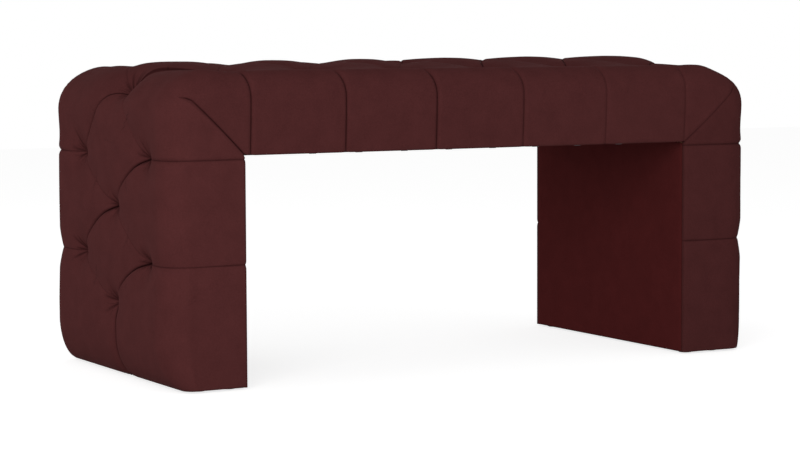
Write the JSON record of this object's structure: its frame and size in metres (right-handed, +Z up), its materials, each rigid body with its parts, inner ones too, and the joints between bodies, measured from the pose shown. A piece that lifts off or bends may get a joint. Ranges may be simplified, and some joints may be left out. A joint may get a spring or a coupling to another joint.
{
  "type": "tufted upholstered bench",
  "caption": "Backless waterfall bench: a padded seat that runs over rounded ends into two slab legs, covered in diamond-tufted fabric.",
  "frame": {"origin": "bottom centre of the bounding box, on the floor under the middle of the seat", "axes": "+X along the bench, +Y from the front to the back, +Z up"},
  "size_m": [1.048, 0.466, 0.487],
  "materials": {
    "cover_fabric": "matte short-pile velvet, deep wine red",
    "black_cloth": "black non-woven lining cloth",
    "foam": "pale upholstery foam, as light as padding",
    "plywood": "raw plywood",
    "timber": "raw planed softwood",
    "zinc_steel": "bright zinc plating",
    "twine": "waxed twine",
    "dark_plastic": "moulded nylon, satin black"
  },
  "bodies": {
    "root": {"tufted_cover_seat": "cover_fabric", "tufted_cover_left": "cover_fabric", "tufted_cover_right": "cover_fabric", "leg_left_lining": "cover_fabric", "leg_right_lining": "cover_fabric", "seat_foam": "foam", "leg_left_foam": "foam", "leg_right_foam": "foam", "seat_deck": "plywood", "seat_front_rail": "timber", "seat_back_rail": "timber", "seat_left_end_rail": "timber", "seat_right_end_rail": "timber", "seat_cross_rails": "timber", "corner_blocks": "timber", "leg_left_outer_panel": "plywood", "leg_left_inner_panel": "plywood", "leg_left_front_post": "timber", "leg_left_back_post": "timber", "leg_left_top_rail": "timber", "leg_left_mid_rail": "timber", "leg_left_base_plate": "plywood", "leg_right_outer_panel": "plywood", "leg_right_inner_panel": "plywood", "leg_right_front_post": "timber", "leg_right_back_post": "timber", "leg_right_top_rail": "timber", "leg_right_mid_rail": "timber", "leg_right_base_plate": "plywood", "frame_bolts": "zinc_steel", "frame_washers": "zinc_steel", "frame_nuts": "zinc_steel", "deck_screws": "zinc_steel", "leg_left_screws": "zinc_steel", "leg_right_screws": "zinc_steel", "tuft_twines": "twine", "tuft_toggles": "dark_plastic", "seat_dust_cover": "black_cloth", "dust_cover_staples": "zinc_steel", "leg_left_base_cloth": "black_cloth", "leg_right_base_cloth": "black_cloth", "glides": "dark_plastic", "glide_nails": "zinc_steel"}
  },
  "joints": []
}
